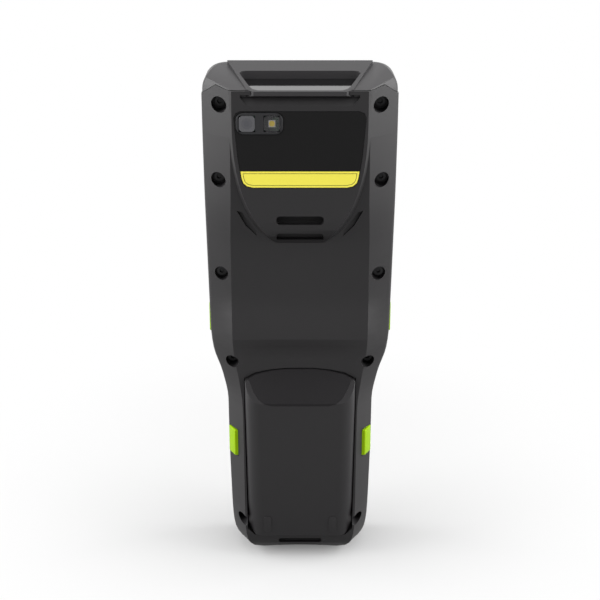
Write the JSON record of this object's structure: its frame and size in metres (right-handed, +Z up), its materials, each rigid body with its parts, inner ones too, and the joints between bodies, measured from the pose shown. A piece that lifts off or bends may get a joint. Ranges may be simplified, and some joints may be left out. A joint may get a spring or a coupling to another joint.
{
  "type": "portable barcode data terminal",
  "caption": "Rugged hand-held barcode data terminal with a keypad and display in front, a scan window in its top end and a removable battery in its grip.",
  "frame": {"origin": "centre of the bounding box at the flat bottom end on which the terminal stands", "axes": "+Z up towards the scan window, +Y towards the keypad and display side, -Y towards the battery side, +X to the right when looking at the battery side"},
  "size_m": [0.0762, 0.036, 0.2065],
  "materials": {
    "housing_plastic": "fine-grained moulded dark grey plastic",
    "cap_plastic": "fine-grained moulded grey plastic",
    "panel_plastic": "smooth satin near-black plastic",
    "battery_plastic": "satin near-black plastic",
    "lime_plastic": "satin lime plastic",
    "key_plastic": "satin rubberised key plastic",
    "label_film": "printed yellow film",
    "dark_window": "dark clear window",
    "display_glass": "black-backed cover glass",
    "led_yellow": "phosphor yellow",
    "screw_steel": "black-oxide steel",
    "cell_metal": "wrapped cell",
    "contact_gold": "gold-plated contacts",
    "board_parts": "circuit board and modules",
    "seal_rubber": "matt rubber",
    "light_pipe": "clear light pipe"
  },
  "bodies": {
    "root": {"bay_contacts": "contact_gold", "camera_bezel": "panel_plastic", "camera_lens": "dark_window", "display_glass": "display_glass", "dock_connector": "key_plastic", "flash_led": "led_yellow", "flash_lens": "dark_window", "front_camera": "dark_window", "front_housing": "housing_plastic", "housing_seal": "seal_rubber", "keypad_membrane": "seal_rubber", "lcd_module": "board_parts", "main_board": "board_parts", "microphone": "board_parts", "rear_camera_module": "board_parts", "rear_housing": "housing_plastic", "rear_panel": "panel_plastic", "rear_screws": "screw_steel", "scan_engine": "board_parts", "scan_window": "dark_window", "speaker": "board_parts", "speaker_mesh": "screw_steel", "status_lightpipe": "light_pipe", "top_cap": "cap_plastic", "yellow_label": "label_film"},
    "battery": {"battery_case": "battery_plastic", "battery_top_cover": "battery_plastic", "battery_cells": "cell_metal", "battery_contacts": "contact_gold"},
    "key_alpha": {"key_alpha": "key_plastic"},
    "key_backspace": {"key_backspace": "key_plastic"},
    "key_down": {"key_down": "key_plastic"},
    "key_eight": {"key_eight": "key_plastic"},
    "key_enter": {"key_enter": "key_plastic"},
    "key_five": {"key_five": "key_plastic"},
    "key_four": {"key_four": "key_plastic"},
    "key_function": {"key_function": "key_plastic"},
    "key_left": {"key_left": "key_plastic"},
    "key_nine": {"key_nine": "key_plastic"},
    "key_one": {"key_one": "key_plastic"},
    "key_pound": {"key_pound": "key_plastic"},
    "key_right": {"key_right": "key_plastic"},
    "key_scan": {"key_scan": "lime_plastic"},
    "key_seven": {"key_seven": "key_plastic"},
    "key_six": {"key_six": "key_plastic"},
    "key_soft_left_lower": {"key_soft_left_lower": "key_plastic"},
    "key_soft_left_upper": {"key_soft_left_upper": "key_plastic"},
    "key_soft_right_lower": {"key_soft_right_lower": "key_plastic"},
    "key_soft_right_upper": {"key_soft_right_upper": "key_plastic"},
    "key_star": {"key_star": "key_plastic"},
    "key_three": {"key_three": "key_plastic"},
    "key_two": {"key_two": "key_plastic"},
    "key_up": {"key_up": "key_plastic"},
    "key_zero": {"key_zero": "key_plastic"},
    "battery_latch_left": {"battery_latch_left": "lime_plastic"},
    "battery_latch_right": {"battery_latch_right": "lime_plastic"},
    "side_scan_button_left": {"side_scan_button_left": "lime_plastic"},
    "side_scan_button_right": {"side_scan_button_right": "lime_plastic"},
    "volume_rocker": {"volume_rocker": "key_plastic"},
    "push_to_talk_button": {"push_to_talk_button": "key_plastic"}
  },
  "joints": [
    {"name": "battery_release", "type": "slide", "parent": "root", "child": "battery", "axis": [0, -1, 0], "range_m": [0, 0.03]},
    {"name": "key_alpha_press", "type": "slide", "parent": "root", "child": "key_alpha", "axis": [0, -1, 0], "range_m": [0, 0.0008], "stiffness_N_per_m": 100},
    {"name": "key_backspace_press", "type": "slide", "parent": "root", "child": "key_backspace", "axis": [0, -1, 0], "range_m": [0, 0.0008], "stiffness_N_per_m": 100},
    {"name": "key_down_press", "type": "slide", "parent": "root", "child": "key_down", "axis": [0, -1, 0], "range_m": [0, 0.0008], "stiffness_N_per_m": 100},
    {"name": "key_eight_press", "type": "slide", "parent": "root", "child": "key_eight", "axis": [0, -1, 0], "range_m": [0, 0.0008], "stiffness_N_per_m": 100},
    {"name": "key_enter_press", "type": "slide", "parent": "root", "child": "key_enter", "axis": [0, -1, 0], "range_m": [0, 0.0008], "stiffness_N_per_m": 100},
    {"name": "key_five_press", "type": "slide", "parent": "root", "child": "key_five", "axis": [0, -1, 0], "range_m": [0, 0.0008], "stiffness_N_per_m": 100},
    {"name": "key_four_press", "type": "slide", "parent": "root", "child": "key_four", "axis": [0, -1, 0], "range_m": [0, 0.0008], "stiffness_N_per_m": 100},
    {"name": "key_function_press", "type": "slide", "parent": "root", "child": "key_function", "axis": [0, -1, 0], "range_m": [0, 0.0008], "stiffness_N_per_m": 100},
    {"name": "key_left_press", "type": "slide", "parent": "root", "child": "key_left", "axis": [0, -1, 0], "range_m": [0, 0.0008], "stiffness_N_per_m": 100},
    {"name": "key_nine_press", "type": "slide", "parent": "root", "child": "key_nine", "axis": [0, -1, 0], "range_m": [0, 0.0008], "stiffness_N_per_m": 100},
    {"name": "key_one_press", "type": "slide", "parent": "root", "child": "key_one", "axis": [0, -1, 0], "range_m": [0, 0.0008], "stiffness_N_per_m": 100},
    {"name": "key_pound_press", "type": "slide", "parent": "root", "child": "key_pound", "axis": [0, -1, 0], "range_m": [0, 0.0008], "stiffness_N_per_m": 100},
    {"name": "key_right_press", "type": "slide", "parent": "root", "child": "key_right", "axis": [0, -1, 0], "range_m": [0, 0.0008], "stiffness_N_per_m": 100},
    {"name": "key_scan_press", "type": "slide", "parent": "root", "child": "key_scan", "axis": [0, -1, 0], "range_m": [0, 0.0008], "stiffness_N_per_m": 100},
    {"name": "key_seven_press", "type": "slide", "parent": "root", "child": "key_seven", "axis": [0, -1, 0], "range_m": [0, 0.0008], "stiffness_N_per_m": 100},
    {"name": "key_six_press", "type": "slide", "parent": "root", "child": "key_six", "axis": [0, -1, 0], "range_m": [0, 0.0008], "stiffness_N_per_m": 100},
    {"name": "key_soft_left_lower_press", "type": "slide", "parent": "root", "child": "key_soft_left_lower", "axis": [0, -1, 0], "range_m": [0, 0.0008], "stiffness_N_per_m": 100},
    {"name": "key_soft_left_upper_press", "type": "slide", "parent": "root", "child": "key_soft_left_upper", "axis": [0, -1, 0], "range_m": [0, 0.0008], "stiffness_N_per_m": 100},
    {"name": "key_soft_right_lower_press", "type": "slide", "parent": "root", "child": "key_soft_right_lower", "axis": [0, -1, 0], "range_m": [0, 0.0008], "stiffness_N_per_m": 100},
    {"name": "key_soft_right_upper_press", "type": "slide", "parent": "root", "child": "key_soft_right_upper", "axis": [0, -1, 0], "range_m": [0, 0.0008], "stiffness_N_per_m": 100},
    {"name": "key_star_press", "type": "slide", "parent": "root", "child": "key_star", "axis": [0, -1, 0], "range_m": [0, 0.0008], "stiffness_N_per_m": 100},
    {"name": "key_three_press", "type": "slide", "parent": "root", "child": "key_three", "axis": [0, -1, 0], "range_m": [0, 0.0008], "stiffness_N_per_m": 100},
    {"name": "key_two_press", "type": "slide", "parent": "root", "child": "key_two", "axis": [0, -1, 0], "range_m": [0, 0.0008], "stiffness_N_per_m": 100},
    {"name": "key_up_press", "type": "slide", "parent": "root", "child": "key_up", "axis": [0, -1, 0], "range_m": [0, 0.0008], "stiffness_N_per_m": 100},
    {"name": "key_zero_press", "type": "slide", "parent": "root", "child": "key_zero", "axis": [0, -1, 0], "range_m": [0, 0.0008], "stiffness_N_per_m": 100},
    {"name": "battery_latch_left_press", "type": "slide", "parent": "root", "child": "battery_latch_left", "axis": [1, 0, 0], "range_m": [0, 0.0015], "stiffness_N_per_m": 100},
    {"name": "battery_latch_right_press", "type": "slide", "parent": "root", "child": "battery_latch_right", "axis": [-1, 0, 0], "range_m": [0, 0.0015], "stiffness_N_per_m": 100},
    {"name": "side_scan_button_left_press", "type": "slide", "parent": "root", "child": "side_scan_button_left", "axis": [1, 0, 0], "range_m": [0, 0.0008], "stiffness_N_per_m": 100},
    {"name": "side_scan_button_right_press", "type": "slide", "parent": "root", "child": "side_scan_button_right", "axis": [-1, 0, 0], "range_m": [0, 0.0008], "stiffness_N_per_m": 100},
    {"name": "push_to_talk_button_press", "type": "slide", "parent": "root", "child": "push_to_talk_button", "axis": [-1, 0, 0], "range_m": [0, 0.0008], "stiffness_N_per_m": 100},
    {"name": "volume_rocker_tilt", "type": "hinge", "parent": "root", "child": "volume_rocker", "pos_m": [-0.036, 0.0051, 0.155], "axis": [0, 1, 0], "range_deg": [-3, 3], "stiffness_Nm_per_rad": 0.02}
  ]
}
